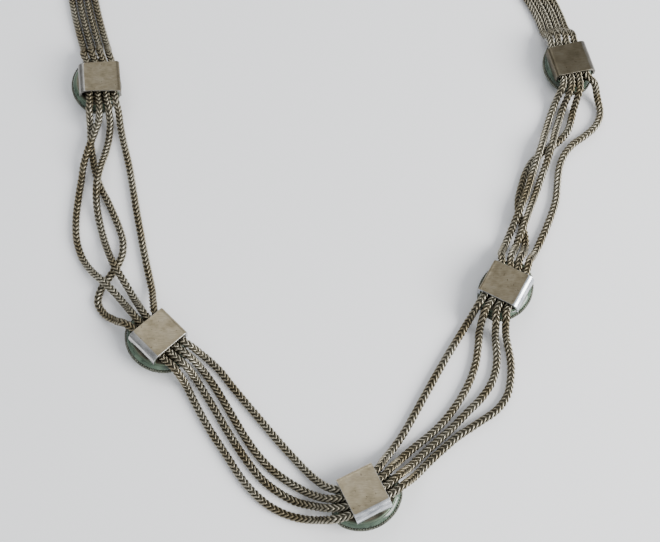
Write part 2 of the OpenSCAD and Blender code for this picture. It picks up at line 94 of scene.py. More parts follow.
# Between stations k and k + 1, ROUTES[k - 1] has a list of points for each strand: the share of the
# way from one station to the next, how far inward of the line between them, and the lift
ROUTES = [
    [
        [[0.12, 0.0026, 0.0018], [0.17, 0.0021, 0.0004], [0.24, 0.0019, 0], [0.33, 0.0019, 0],
            [0.5, 0.0013, 0], [0.64, 0.0009, 0], [0.76, 0.0007, 0], [0.82, 0.0007, 0.0006],
            [0.87, 0.0005, 0.002]],
        [[0.12, 0.0006, 0.0021], [0.17, -0.0003, 0.0006], [0.22, -0.0015, 0],
            [0.27, -0.0029, 0.0003], [0.33, -0.0046, 0.0015], [0.385, -0.0059, 0.002],
            [0.44, -0.0069, 0.0013], [0.5, -0.0074, 0.0004], [0.57, -0.0074, 0],
            [0.64, -0.0069, 0.0009], [0.7, -0.0061, 0.002], [0.76, -0.0049, 0.0016],
            [0.83, -0.0035, 0.0009], [0.88, -0.0024, 0.0022]],
        [[0.12, -0.0015, 0.0026], [0.18, -0.0035, 0.0022], [0.24, -0.0059, 0.002],
            [0.29, -0.0079, 0.0012], [0.35, -0.0096, 0], [0.43, -0.0114, 0], [0.5, -0.0127, 0],
            [0.57, -0.0133, 0], [0.64, -0.0128, 0], [0.7, -0.0112, 0.0009],
            [0.745, -0.0094, 0.002], [0.79, -0.0076, 0.0019], [0.84, -0.0059, 0.0014],
            [0.89, -0.0044, 0.0025]],
        [[0.12, -0.0039, 0.002], [0.165, -0.005, 0.0004], [0.21, -0.0056, 0], [0.27, -0.0059, 0],
            [0.33, -0.006, 0], [0.4, -0.0055, 0], [0.45, -0.0047, 0], [0.5, -0.0041, 0],
            [0.57, -0.0034, 0], [0.62, -0.0033, 0], [0.66, -0.004, 0], [0.7, -0.0058, 0],
            [0.735, -0.0082, 0], [0.77, -0.0104, 0], [0.81, -0.0115, 0], [0.855, -0.0107, 0.0003],
            [0.895, -0.0085, 0.0018]],
    ],
    [
        [[0.13, 0.0029, 0.0018], [0.18, 0.0031, 0.0004], [0.25, 0.0028, 0], [0.35, 0.0015, 0],
            [0.5, -0.0003, 0], [0.62, -0.0017, 0], [0.7, -0.0025, 0], [0.77, -0.0031, 0.0002],
            [0.83, -0.0034, 0.0013], [0.88, -0.0032, 0.0027]],
        [[0.13, 0.0009, 0.002], [0.19, 0.0007, 0.0004], [0.26, -0.0002, 0], [0.32, -0.0013, 0],
            [0.4, -0.003, 0], [0.5, -0.0051, 0], [0.57, -0.0063, 0], [0.65, -0.0071, 0],
            [0.73, -0.0071, 0], [0.8, -0.0067, 0.0005], [0.86, -0.006, 0.0018],
            [0.913, -0.0047, 0.0031]],
        [[0.13, -0.0011, 0.0021], [0.19, -0.0015, 0.0005], [0.26, -0.0028, 0], [0.33, -0.0042, 0],
            [0.4, -0.0057, 0], [0.5, -0.0077, 0], [0.57, -0.0089, 0], [0.65, -0.0099, 0],
            [0.73, -0.01, 0], [0.81, -0.0093, 0.0002], [0.87, -0.008, 0.0014],
            [0.935, -0.0061, 0.0031]],
        [[0.12, -0.003, 0.0023], [0.18, -0.0038, 0.0006], [0.26, -0.0058, 0], [0.36, -0.0081, 0],
            [0.5, -0.0107, 0], [0.57, -0.012, 0], [0.65, -0.013, 0], [0.72, -0.0133, 0],
            [0.79, -0.0128, 0], [0.86, -0.0114, 0.0002], [0.92, -0.0094, 0.0014],
            [0.968, -0.0075, 0.0031]],
    ],
    [
        [[0.15, 0.0007, 0.0017], [0.21, 0.0005, 0.0003], [0.28, 0.0005, 0], [0.38, 0.0009, 0],
            [0.5, 0.0015, 0], [0.64, 0.0021, 0], [0.76, 0.0024, 0], [0.82, 0.0026, 0.0004],
            [0.87, 0.0027, 0.0019]],
        [[0.14, -0.0014, 0.0021], [0.2, -0.0021, 0.0004], [0.26, -0.0029, 0], [0.32, -0.0039, 0],
            [0.4, -0.0049, 0], [0.5, -0.0053, 0], [0.6, -0.0049, 0], [0.68, -0.0038, 0],
            [0.75, -0.0021, 0], [0.82, -0.0001, 0.0005], [0.87, 0.0008, 0.0021]],
        [[0.13, -0.0035, 0.0024], [0.19, -0.0044, 0.0006], [0.25, -0.0051, 0], [0.32, -0.006, 0],
            [0.4, -0.0071, 0], [0.5, -0.0081, 0], [0.58, -0.0089, 0], [0.66, -0.0088, 0],
            [0.73, -0.0075, 0], [0.79, -0.0053, 0], [0.835, -0.0032, 0.0005],
            [0.875, -0.0016, 0.0022]],
        [[0.12, -0.0056, 0.0027], [0.18, -0.0065, 0.0008], [0.25, -0.0072, 0], [0.32, -0.0081, 0],
            [0.4, -0.0093, 0], [0.45, -0.0104, 0], [0.5, -0.0115, 0], [0.57, -0.0129, 0],
            [0.64, -0.0131, 0], [0.71, -0.0117, 0], [0.77, -0.0097, 0], [0.82, -0.0072, 0.0002],
            [0.875, -0.0042, 0.0021]],
    ],
    [
        [[0.12, 0.0028, 0.0019], [0.18, 0.0024, 0.0007], [0.26, 0.0019, 0.0011],
            [0.335, 0.0015, 0.002], [0.42, 0.0011, 0.0016], [0.5, 0.001, 0.0015],
            [0.56, 0.0009, 0.0019], [0.62, 0.0008, 0.0019], [0.7, 0.0007, 0.0005],
            [0.78, 0.0006, 0], [0.84, 0.0003, 0.001], [0.88, -0.0001, 0.0025]],
        [[0.12, 0.0007, 0.0021], [0.17, 0.0002, 0.0012], [0.225, -0.0001, 0.0017],
            [0.28, -0.0003, 0.002], [0.34, -0.0006, 0.0013], [0.41, -0.001, 0.0002],
            [0.5, -0.0013, 0.0004], [0.57, -0.0015, 0.0009], [0.64, -0.0015, 0.002],
            [0.7, -0.0015, 0.0011], [0.77, -0.0017, 0], [0.83, -0.0018, 0.0007],
            [0.885, -0.0021, 0.0023]],
        [[0.12, -0.0013, 0.0023], [0.17, -0.002, 0.0005], [0.22, -0.0018, 0], [0.27, -0.0005, 0],
            [0.32, 0.0012, 0], [0.37, 0.0022, 0], [0.44, 0.0025, 0], [0.5, 0.0024, 0],
            [0.55, 0.0018, 0], [0.6, 0.0002, 0], [0.64, -0.0016, 0], [0.68, -0.0032, 0],
            [0.73, -0.0043, 0], [0.8, -0.0044, 0], [0.85, -0.0042, 0.0007], [0.9, -0.004, 0.0023]],
        [[0.12, -0.0034, 0.0025], [0.18, -0.0044, 0.0006], [0.25, -0.0051, 0], [0.34, -0.0057, 0],
            [0.42, -0.0059, 0], [0.5, -0.0052, 0], [0.57, -0.0047, 0], [0.63, -0.0051, 0],
            [0.68, -0.0063, 0], [0.73, -0.0084, 0], [0.79, -0.0103, 0], [0.85, -0.0106, 0],
            [0.9, -0.0092, 0.0006], [0.937, -0.0072, 0.0023]],
    ],
]
CAPS = (0, len(PLACES) - 1)
STATIONS = range(1, len(PLACES) - 1)
STRANDS = "abcd"  # a is nearest the inside of the U
SPAN_NAMES = ("left_neck", "span_1", "span_2", "span_3", "span_4", "right_neck")

# ---- Sizes in metres, angles in degrees, and counts ----

STRAND_R = 0.0009
STRAND_PITCH = 0.0019
LINE_STEP = 0.0002  # between the points of a strand's middle line
SMOOTH_STEPS = 3  # the points to each side that a direction is averaged over
HEIGHT_SMOOTH_STEPS = 4  # and a height
RIM_MARGIN = 0.0012  # a strand stays level this far beyond a setting plate's rim
RIM_RUN = 0.0053  # and then comes down to the surface within this distance
STRAND_ROLL = 14  # how far a strand rolls to and fro
ROLL_LENGTH = 0.031
ROLL_PHASE = 1.9  # from one strand to the next
LINK_PITCH = 0.00102
LINK_WIRE_R = 0.0002
LINK_HALF_WIDTH = 0.00068
LINK_RISE = 0.00068  # half the height of a link's V
LINK_DIP = 0.2  # how deep the tip of the V dives between the links before it
LINK_DIP_WIDTH = 0.3
LINK_STRAIGHT = 0.85  # how straight the arms of the V are
LINK_SCATTER = 0.025  # the links' uneven size
LINK_TWIST = 3  # and their uneven turn
LINK_STEPS = 24
LINK_SIDES = 7
CORE_R = 0.0006
CORE_SIDES = 8

STONE_HALF = (0.0072, 0.0054)
STONE_SHIFT = 0.0012
OVAL_TIP = 0.004  # radius of the oval's two ends
OVAL_POINTS = 96
DOME_DEPTH = 0.0022
DOME_RINGS = 14
GIRDLE_HEIGHT = 0.0005
BEVEL = 0.0006
BEVEL_PROFILE = [(0, 1), (0.15, 0.75), (0.85, 0.15), (1.2, 0.0167)]  # inset and depth, in bevels
BACK_Z = DOME_DEPTH + GIRDLE_HEIGHT + BEVEL
PLATE_THICKNESS = 0.0005
PLATE_TOP = BACK_Z + PLATE_THICKNESS
PLATE_FLAT = -0.0012  # where the plate's flat faces end, outward of the stone's outline
PLATE_RIM_STEPS = 6
BEZEL_BELOW = 0.0004  # from the girdle to the bezel's foot, on the dome's side
# How far outward of the stone, how far up from the foot, and how deep the teeth's notches are there
BEZEL_PROFILE = [
    (0.00002, 0, 0), (0.00027, 0, 0), (0.00045, 0.0002, 0), (0.00045, 0.0006, 0.35),
    (0.000405, 0.00085, 1), (0.0001575, 0.001, 1), (0.00002, 0.0008, 0),
]
TEETH = 72
TOOTH_POINTS = 6
TOOTH_DEPTH = 0.00025

CHANNEL_WIDTH = 0.0085
CHANNEL_HEIGHT = 0.002
CHANNEL_MID = PLATE_TOP + CHANNEL_HEIGHT / 2
STRAP_SHIFT = 0.0003  # how far outward the strap is of the strands' middle
STRAP_LENGTH = 0.008
STRAP_SHEET = 0.0006
STRAP_RIM = 0.00007
STRAP_BOW = 0.00004  # how uneven the back is
BOW_WAVES = (2.1, 1.7)  # how fast its two waves turn across the back
BOW_SHARPNESS = 3  # how close to the ends the first one keeps
STRAP_SKEW = 0.00018  # how far the ends lean
FOLD_RADII = (0.0017, 0.0008)  # outer and inner side of the U
FOLD_FROM = 0.77  # where the outer fold's painted highlight starts, in half widths from the middle
FOLD_SHINE = 16  # and how fast it grows
RIM_SHARPNESS = 24  # how close to the rims their polish keeps
STRAP_ARC_STEPS = 7
STRAP_FLAT_STEPS = 14
STRAP_ROWS = 22
MOUTH = STRAP_LENGTH / 2 + 0.0003  # a strand runs straight through the strap to just outside it
STOP_GAP = 0.0015
CHANNEL_STOPS = (-MOUTH, -MOUTH + STOP_GAP, 0, MOUTH - STOP_GAP, MOUTH)

POCKET_WIDTH = 0.0079  # the hollow for the four strands in a cap
POCKET_CORNER = 0.0003
CAP_HEIGHT = 0.003
CAP_MID = CAP_HEIGHT / 2
CAP_DEPTH = 0.0038  # how far the strands reach into a cap
CAP_WALL = 0.00065
CAP_CORNER = 0.0007
CAP_EASE = 0.0001  # how far the mouth's edges are eased
# Two raised bands and the body behind them: along the cap, and inset
CAP_BANDS = [
    (0.0001, 0), (0.0007, 0), (0.0008, 0.00012), (0.0011, 0.00012), (0.0012, 0), (0.0018, 0),
    (0.0019, 0.00012), (0.0034, 0.00012),
]
CAP_TAPER_ROWS = 16
CORNER_STEPS = 5
NOSE_HALF = 0.0005  # the cap's narrow end, where the eye starts
NOSE_CORNER = 0.0004
NOSE_GAP = 0.0001
NECK_STOPS = (-0.001, 0.0015)  # where a strand leaves a cap, along the chain from its mouth
EYE_X = 0.0107
EYE_Z = 0.0016
EYE_MAJOR_R = 0.00115
EYE_MINOR_R = 0.00035
EYE_STEPS = 40
EYE_SIDES = 14
LINK_RADIUS = 0.002  # the jump ring between the cap and the clasp
LINK_RING_WIRE_R = 0.0004
CATCH_RADIUS = 0.0026
CATCH_WIRE_R = 0.00045
RING_STEPS = 72
RING_SIDES = 18
CASE_RADIUS = 0.004  # the clasp's ring, at the middle of its tube
CASE_X = 0.0205
TUBE_R = 0.00095
SPRING_TURNS = 12
SPRING_STEPS = 16
SPRING_SIDES = 8
SPRING_RADIUS = 0.00043
SPRING_WIRE_R = 0.00008
SPRING_FROM = 96  # the spring's ends, round the clasp: at the bolt
SPRING_TO = 199  # and at its stop

SHARP_ANGLE = 40
RANDOM_SEED = 7

# ---- Colours, light and camera ----

# From the core between the links to their outer side: black-brown oxide with painted shade deep inside the
# strand, rubbed silver on the links' outer side
CHAIN_OXIDE_AND_SHADE = [
    (0.0, (0.085, 0.080, 0.064)), (0.66, (0.115, 0.108, 0.086)),
    (0.84, (0.235, 0.22, 0.18)), (0.98, (0.45, 0.43, 0.37)),
]
STRAP_CLOUDS = [(0.32, (0.44, 0.37, 0.24)), (0.5, (0.60, 0.51, 0.345)), (0.7, (0.68, 0.59, 0.42))]
# Each station's strap, painted lighter or darker as light falls on it: how bright its clouds are painted,
# and how strongly its rims and outer fold are painted with polish and highlight
STRAP_PAINTED_LIGHT = {1: (0.28, 0.25), 2: (0.54, 0.55), 3: (0.58, 0.8), 4: (0.36, 0.9), 5: (0.21, 0.1)}
CLOUD_SEED_STEP = 3.7
STONE_CLOUDS = [
    (0.3, (0.034, 0.054, 0.036)), (0.5, (0.080, 0.122, 0.084)), (0.75, (0.150, 0.205, 0.150)),
]
FLOOR_COLOUR = (0.97, 0.975, 0.99)
FLOOR_HALF = 3.0
FLOOR_GAP = 0.0001
WORLD_SKY = [(0.1, (0.40, 0.41, 0.42)), (0.75, (0.93, 0.96, 1.0))]  # dim towards -X, bright towards +X
WORLD_TURN = 15
WORLD_STRENGTH = 0.9
# Name, place, size, power and colour
SOFTBOXES = [
    ("window", (0.50, -0.22, 0.38), 0.42, 7.5, (1.0, 0.99, 0.97)),
    ("fill", (-0.3, 0.75, 0.8), 0.8, 4, (0.95, 0.97, 1.0)),
]
CAMERA_AT = (0.0005, -0.116, 0.1944)
CAMERA_TILT = 20
CAMERA_LENS = 50  # millimetres
CAMERA_SENSOR = 36
CAMERA_NEAR = 0.01


# ---- The strands' points, as in the CAD model ----

def body_name(k):
    """The CAD body at place k."""
    return "left_end" if k == 0 else "right_end" if k == CAPS[1] else f"station_{k}"


def direction(angle):
    """The level direction at an angle from +X."""
    return np.array([math.cos(math.radians(angle)), math.sin(math.radians(angle)), 0])


def inward(angle):
    """The level direction across the chain, towards the inside of the U."""
    return direction(angle + 90)


def spot(k):
    """Where place k's middle is on the surface."""
    return np.array([PLACES[k][0], PLACES[k][1], 0])


def side_of(i):
    """How far inward strand i lies where the four lie side by side."""
    return ((len(STRANDS) - 1) / 2 - i) * STRAND_PITCH


def shift(k):
    """How far outward of the strands' middle the stone of station k lies."""
    return STONE_SHIFT * PLACES[k][4]


def tilt_lift(k):
    """The tilted dome rolls on its ellipse, which lifts its middle a little."""
    t = math.radians(PLACES[k][3])
    roll = math.hypot(STONE_HALF[1] * math.sin(t), DOME_DEPTH * math.cos(t))
    return roll - DOME_DEPTH - shift(k) * math.sin(t)


def slot_point(k, i, along):
    """The middle of strand i at place k, a distance along the chain from the place's middle."""
    side = side_of(i)
    t = math.radians(PLACES[k][3])
    up = 0 if k in CAPS else CHANNEL_MID - DOME_DEPTH
    base = CAP_MID if k in CAPS else DOME_DEPTH + tilt_lift(k)
    across = side * math.cos(t) + up * math.sin(t)
    height = base - side * math.sin(t) + up * math.cos(t)
    heading = PLACES[k][2]
    return spot(k) + along * direction(heading) + across * inward(heading) + [0, 0, height]


def guide_point(guide, i):
    """The middle of strand i where the four lie side by side."""
    x, y, heading, lift = guide
    return np.array([x, y, STRAND_R + lift]) + side_of(i) * inward(heading)


def route_point(k, point):
    """A route's point between stations k and k + 1."""
    share, side, lift = point
    line = spot(k + 1) - spot(k)
    along = line / np.linalg.norm(line)
    across = np.array([-along[1], along[0], 0])
    return spot(k) + share * line + side * across + [0, 0, STRAND_R + lift]


def strand_points(i):
    """Every point that strand i passes through, and which of them is each place's middle."""
    points = [slot_point(0, i, along) for along in (-CAP_DEPTH, *NECK_STOPS)]
    points += [guide_point(guide, i) for guide in LEFT_GUIDES]
    middles = [0]
    for k in STATIONS:
        middles.append(len(points) + CHANNEL_STOPS.index(0))
        points += [slot_point(k, i, along) for along in CHANNEL_STOPS]
        if k <= len(ROUTES):
            points += [route_point(k, point) for point in ROUTES[k - 1][i]]
    points += [guide_point(guide, i) for guide in RIGHT_GUIDES]
    points += [slot_point(CAPS[1], i, along) for along in (-NECK_STOPS[1], -NECK_STOPS[0], CAP_DEPTH)]
    middles.append(len(points) - 1)
    return np.array(points), middles


def rest_heights(line):
    """How high the middle of a strand lies along a line, on the surface or on the setting plates."""
    heights = np.full(len(line), STRAND_R)
    rim = (STONE_HALF[0] - BEVEL + RIM_MARGIN, STONE_HALF[1] - BEVEL + RIM_MARGIN)
    up = PLATE_TOP + STRAND_R - DOME_DEPTH
    for k in STATIONS:
        tilt = math.radians(PLACES[k][3])
        away = line * [1, 1, 0] - spot(k)
        along = away @ direction(PLACES[k][2])
        side = (away @ inward(PLACES[k][2]) - up * math.sin(tilt)) / math.cos(tilt)
        reach = np.hypot(along / rim[0], (side + shift(k)) / rim[1])
        beyond = np.clip((reach - 1) * rim[0] / RIM_RUN, 0, 1)
        top = DOME_DEPTH + tilt_lift(k) + up * math.cos(tilt) - side * math.sin(tilt)
        heights = np.maximum(heights, top * (1 - beyond * beyond * (3 - 2 * beyond)))
    return heights


def smooth_rows(rows, count):
    """Averages each row with its neighbours, count to each side."""
    kernel = np.ones(2 * count + 1) / (2 * count + 1)
    padded = np.pad(rows, ((count, count), (0, 0)), mode="edge")
    return np.stack([np.convolve(padded[:, c], kernel, "valid") for c in range(3)], axis=-1)


class Strand:
    """The middle line of one strand as dense points, with a side and an up direction at each."""

    def __init__(self, i):
        points, middles = strand_points(i)
        line = []
        marks = []
        for n in range(len(points) - 1):
            if n in middles:
                marks.append(len(line))
            line += self.curve(points, n)
        marks.append(len(line))
        line.append(points[-1])
        self.line = np.array(line)
        self.line[:, 2] = np.maximum(self.line[:, 2], rest_heights(self.line))
        self.line[:, 2] = smooth_rows(self.line, HEIGHT_SMOOTH_STEPS)[:, 2]
        steps = np.linalg.norm(np.diff(self.line, axis=0), axis=1)
        self.arc = np.concatenate([[0], np.cumsum(steps)])
        self.marks = [self.arc[m] for m in marks]
        along = np.gradient(self.line, self.arc, axis=0)
        along = smooth_rows(along, SMOOTH_STEPS)
        along /= np.linalg.norm(along, axis=1)[:, None]
        side = np.cross(along, [0, 0, 1])
        side /= np.linalg.norm(side, axis=1)[:, None]
        up = np.cross(side, along)
        roll = np.radians(STRAND_ROLL) * np.sin(self.arc / ROLL_LENGTH + ROLL_PHASE * i)
        self.side = side * np.cos(roll)[:, None] + up * np.sin(roll)[:, None]
        self.up = up * np.cos(roll)[:, None] - side * np.sin(roll)[:, None]

    @staticmethod
    def tangent(points, n):
        """The direction at point n, weighted by how near its neighbours are."""
        if n == 0 or n == len(points) - 1:
            step = points[min(n + 1, len(points) - 1)] - points[max(n - 1, 0)]
            return step / np.linalg.norm(step)
        before = points[n] - points[n - 1]
        after = points[n + 1] - points[n]
        size = np.linalg.norm(before)
        size_after = np.linalg.norm(after)
        way = before / size * size_after + after / size_after * size
        return way / np.linalg.norm(way)

    @classmethod
    def curve(cls, points, n):
        """The curve from point n up to the next one, as the CAD model has it."""
        size = np.linalg.norm(points[n + 1] - points[n])
        start = cls.tangent(points, n) * size
        end = cls.tangent(points, n + 1) * size
        count = max(1, round(size / LINE_STEP))
        made = []
        for t in np.arange(count) / count:
            made.append(
                (2 * t**3 - 3 * t**2 + 1) * points[n] + (t**3 - 2 * t**2 + t) * start
                + (3 * t**2 - 2 * t**3) * points[n + 1] + (t**3 - t**2) * end
            )
        return made

    def at(self, s, x, z):
        """Points at arc lengths s, x to the side and z up from the middle line."""
        def read(rows):
            return np.stack([np.interp(s, self.arc, rows[:, c]) for c in range(3)], axis=-1)
        return read(self.line) + x[..., None] * read(self.side) + z[..., None] * read(self.up)


# ---- Meshes ----

def make_object(name, points, faces, material, wear_and_painted_light=None):
    """A smooth mesh object with one material; the last argument is a float for each point, for the material:
    wear on rims and teeth, painted shade in the chain and a painted highlight on the straps' outer folds.
    """
    mesh = bpy.data.meshes.new(name)
    mesh.from_pydata([tuple(p) for p in points], [], faces)
    mesh.polygons.foreach_set("use_smooth", [True] * len(mesh.polygons))
    if wear_and_painted_light is not None:
        attribute = mesh.attributes.new("wear_and_painted_light", "FLOAT", "POINT")
        attribute.data.foreach_set("value", np.asarray(wear_and_painted_light, np.float32))
    mesh.materials.append(material)
    mesh.update()
    made = bpy.data.objects.new(name, mesh)
    bpy.context.scene.collection.objects.link(made)
    return made


def loft_faces(count, sides, first=0, ends=True):
    """Quads between count rings of sides points, and a flat face over each end."""
    faces = []
    for n in range(count - 1):
        for s in range(sides):
            a = first + n * sides + s
            b = first + n * sides + (s + 1) % sides
            faces.append((a, b, b + sides, a + sides))
    if ends:
        faces.append(tuple(first + s for s in reversed(range(sides))))
        faces.append(tuple(first + (count - 1) * sides + s for s in range(sides)))
    return faces


def ring_faces(steps, sides, first=0):
    """Quads of a closed ring of wire: steps round it, sides round the wire."""
    faces = []
    for r in range(steps):
        for c in range(sides):
            a = first + r * sides + c
            b = first + r * sides + (c + 1) % sides
            ahead = ((r + 1) % steps - r) * sides
            faces.append((a, a + ahead, b + ahead, b))
    return faces


def ring_points(radius, wire_r, steps, sides):
    """A ring of round wire, round +Z."""
    points = []
    for n in range(steps):
        turn = 2 * math.pi * n / steps
        for s in range(sides):
            round_wire = 2 * math.pi * s / sides
            out = radius + wire_r * math.cos(round_wire)
            points.append((out * math.cos(turn), out * math.sin(turn), wire_r * math.sin(round_wire)))
    return points


def sharpen(made):
    """Keeps sharp edges as edges, and shades the rest smooth."""
    bpy.context.view_layer.objects.active = made
    made.select_set(True)
    bpy.ops.object.shade_smooth_by_angle(angle=math.radians(SHARP_ANGLE), keep_sharp_edges=True)
    made.select_set(False)


def settle(made, matrix, body, node):
    """Puts a piece in its place, and says what it rides on and stands for."""
    made.data.transform(matrix)
    made.data.update()
    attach(made, body)
    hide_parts(node)


# ---- The strands ----

def link_template():
    """One link: a ring whose near and far sides reach forward as a V. Columns: x, along, z."""
    turn = np.arange(LINK_STEPS) * 2 * math.pi / LINK_STEPS
    dip = 1 - LINK_DIP * np.exp(-(np.cos(turn) / LINK_DIP_WIDTH) ** 2)
    straight = 1 - 2 * np.abs(np.mod(turn / (math.pi / 2), 2) - 1)
    reach = LINK_STRAIGHT * straight - (1 - LINK_STRAIGHT) * np.cos(2 * turn)
    middle = np.stack([
        LINK_HALF_WIDTH * np.cos(turn),
        LINK_RISE * reach,
        LINK_HALF_WIDTH * np.sin(turn) * dip,
    ], axis=-1)
    way = np.roll(middle, -1, axis=0) - np.roll(middle, 1, axis=0)
    way /= np.linalg.norm(way, axis=1)[:, None]
    out = middle * [1, 0, 1]
    out -= way * np.sum(out * way, axis=1)[:, None]
    out /= np.linalg.norm(out, axis=1)[:, None]
    across = np.cross(way, out)
    round_wire = np.arange(LINK_SIDES) * 2 * math.pi / LINK_SIDES
    points = (
        middle[:, None]
        + LINK_WIRE_R * np.cos(round_wire)[None, :, None] * out[:, None]
        + LINK_WIRE_R * np.sin(round_wire)[None, :, None] * across[:, None]
    )
    return points.reshape(-1, 3)


def fold_joint(a, b):
    """The joint between two bodies."""
    return next(j for j in frame["joints"] if {j["parent"], j["child"]} == {a, b})


def strand_piece(strand, i, k):
    """Strand i between places k and k + 1: its links on a dark core, which is oxide and painted shade where
    the strand's inside shows between the links.
    """
    template = link_template()
    start, end = strand.marks[k], strand.marks[k + 1]
    places = np.arange(math.ceil(start / LINK_PITCH), math.ceil(end / LINK_PITCH)) * LINK_PITCH
    random = np.random.RandomState(RANDOM_SEED + 10 * k + i)
    points = []
    faces = []
    wear_and_painted_light = []
    for place in places:
        size = 1 + LINK_SCATTER * random.uniform(-1, 1)
        turn = math.radians(LINK_TWIST) * random.uniform(-1, 1)
        x = size * (template[:, 0] * math.cos(turn) - template[:, 2] * math.sin(turn))
        z = size * (template[:, 0] * math.sin(turn) + template[:, 2] * math.cos(turn))
        s = np.clip(place + template[:, 1], strand.arc[0], strand.arc[-1])
        faces += ring_faces(LINK_STEPS, LINK_SIDES, len(wear_and_painted_light))
        points.append(strand.at(s, x, z))
        # The links darken towards the strand's middle: oxide with painted shade
        wear_and_painted_light += list(np.hypot(x, z) / STRAND_R)
    stops = np.append(np.arange(start, end, LINK_PITCH), end)
    round_core = np.arange(CORE_SIDES) * 2 * math.pi / CORE_SIDES
    s = np.repeat(stops, CORE_SIDES)
    x = np.tile(CORE_R * np.cos(round_core), len(stops))
    z = np.tile(CORE_R * np.sin(round_core), len(stops))
    faces += loft_faces(len(stops), CORE_SIDES, len(wear_and_painted_light))
    points.append(strand.at(s, x, z))
    # The core takes the darkest colour: oxide with painted shade inside the strand
    wear_and_painted_light += [0] * len(s)
    name = f"{SPAN_NAMES[k]}_strand_{STRANDS[i]}"
    made = make_object(name, np.concatenate(points), faces, MATERIALS["chain"], wear_and_painted_light)
    a, b = body_name(k), body_name(k + 1)
    fold = fold_joint(a, b)
    way = Vector(spot(k + 1) - spot(k))
    axis = Vector(fold["axis"])
    way = (way - axis * way.dot(axis)).normalized()
    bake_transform(made)
    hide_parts(f"{a}_strand_{STRANDS[i]}", f"{b}_strand_{STRANDS[i]}")


# ---- Stations ----

class Oval:
    """The stone's outline: four arcs, as in the CAD model."""

    def __init__(self, half, tip):
        self.tip = tip
        self.spread = half[0] - tip
        rise = half[1] - tip
        self.drop = (self.spread**2 - rise**2) / (2 * rise)
        self.side_r = half[1] + self.drop
        self.lean = math.atan2(self.spread, self.drop)  # from the side arcs' middle to their ends

    def outline(self, count, grow=0.0):
        """count points round the oval, evenly along it, each grown outward."""
        tip_r = self.tip + grow
        side_r = self.side_r + grow
        tip_turn = math.pi / 2 - self.lean
        tip_length = 2 * tip_turn * self.tip
        side_length = 2 * self.lean * self.side_r
        half_length = tip_length + side_length
        points = []
        for n in range(count):
            share = (n / count * 2 * half_length) % half_length
            flip = -1 if n / count >= 0.5 else 1
            if share < tip_length:
                turn = share / self.tip - tip_turn
                point = (self.spread + tip_r * math.cos(turn), tip_r * math.sin(turn))
            else:
                turn = tip_turn + (share - tip_length) / self.side_r
                point = (side_r * math.cos(turn), side_r * math.sin(turn) - self.drop)
            points.append((flip * point[0], flip * point[1]))
        return points


def oval_rings(oval, profile, count):
    """Rings of points: profile lists how far each is grown outward, and its height."""
    points = []
    for grow, z in profile:
        points += [(x, y, z) for x, y in oval.outline(count, grow)]
    return points


def place_matrix(k):
    """From a station's own frame to the row frame."""
    x, y, heading, tilt, _ = PLACES[k]
    lift = Matrix.Translation((x, y, DOME_DEPTH + tilt_lift(k)))
    turn = Matrix.Rotation(math.radians(heading), 4, "Z") @ Matrix.Rotation(math.radians(-tilt), 4, "X")
    return lift @ turn @ Matrix.Translation((0, 0, -DOME_DEPTH))


def stone_matrix(k):
    """From a stone's own frame, which lies outward of its station's, to the row frame."""
    return place_matrix(k) @ Matrix.Translation((0, -shift(k), 0))


def strap_wall(grow, radii, foot):
    """One face of the bent sheet in the (y, z) plane, from the outer leg's foot over the back to
    the inner one's. It is grown outward from the channel's wall, and has a radius for each fold."""
    top = PLATE_TOP + CHANNEL_HEIGHT + grow
    low = -CHANNEL_WIDTH / 2 - STRAP_SHIFT - grow + radii[0]
    high = CHANNEL_WIDTH / 2 - STRAP_SHIFT + grow - radii[1]
    points = [(low - radii[0], foot)]
    for n in range(STRAP_ARC_STEPS + 1):
        turn = math.pi - math.pi / 2 * n / STRAP_ARC_STEPS
        points.append((low + radii[0] * math.cos(turn), top - radii[0] + radii[0] * math.sin(turn)))
    for n in range(1, STRAP_FLAT_STEPS):
        points.append((low + (high - low) * n / STRAP_FLAT_STEPS, top))
    for n in range(STRAP_ARC_STEPS + 1):
        turn = math.pi / 2 - math.pi / 2 * n / STRAP_ARC_STEPS
        points.append((high + radii[1] * math.cos(turn), top - radii[1] + radii[1] * math.sin(turn)))
    return points + [(high + radii[1], foot)]


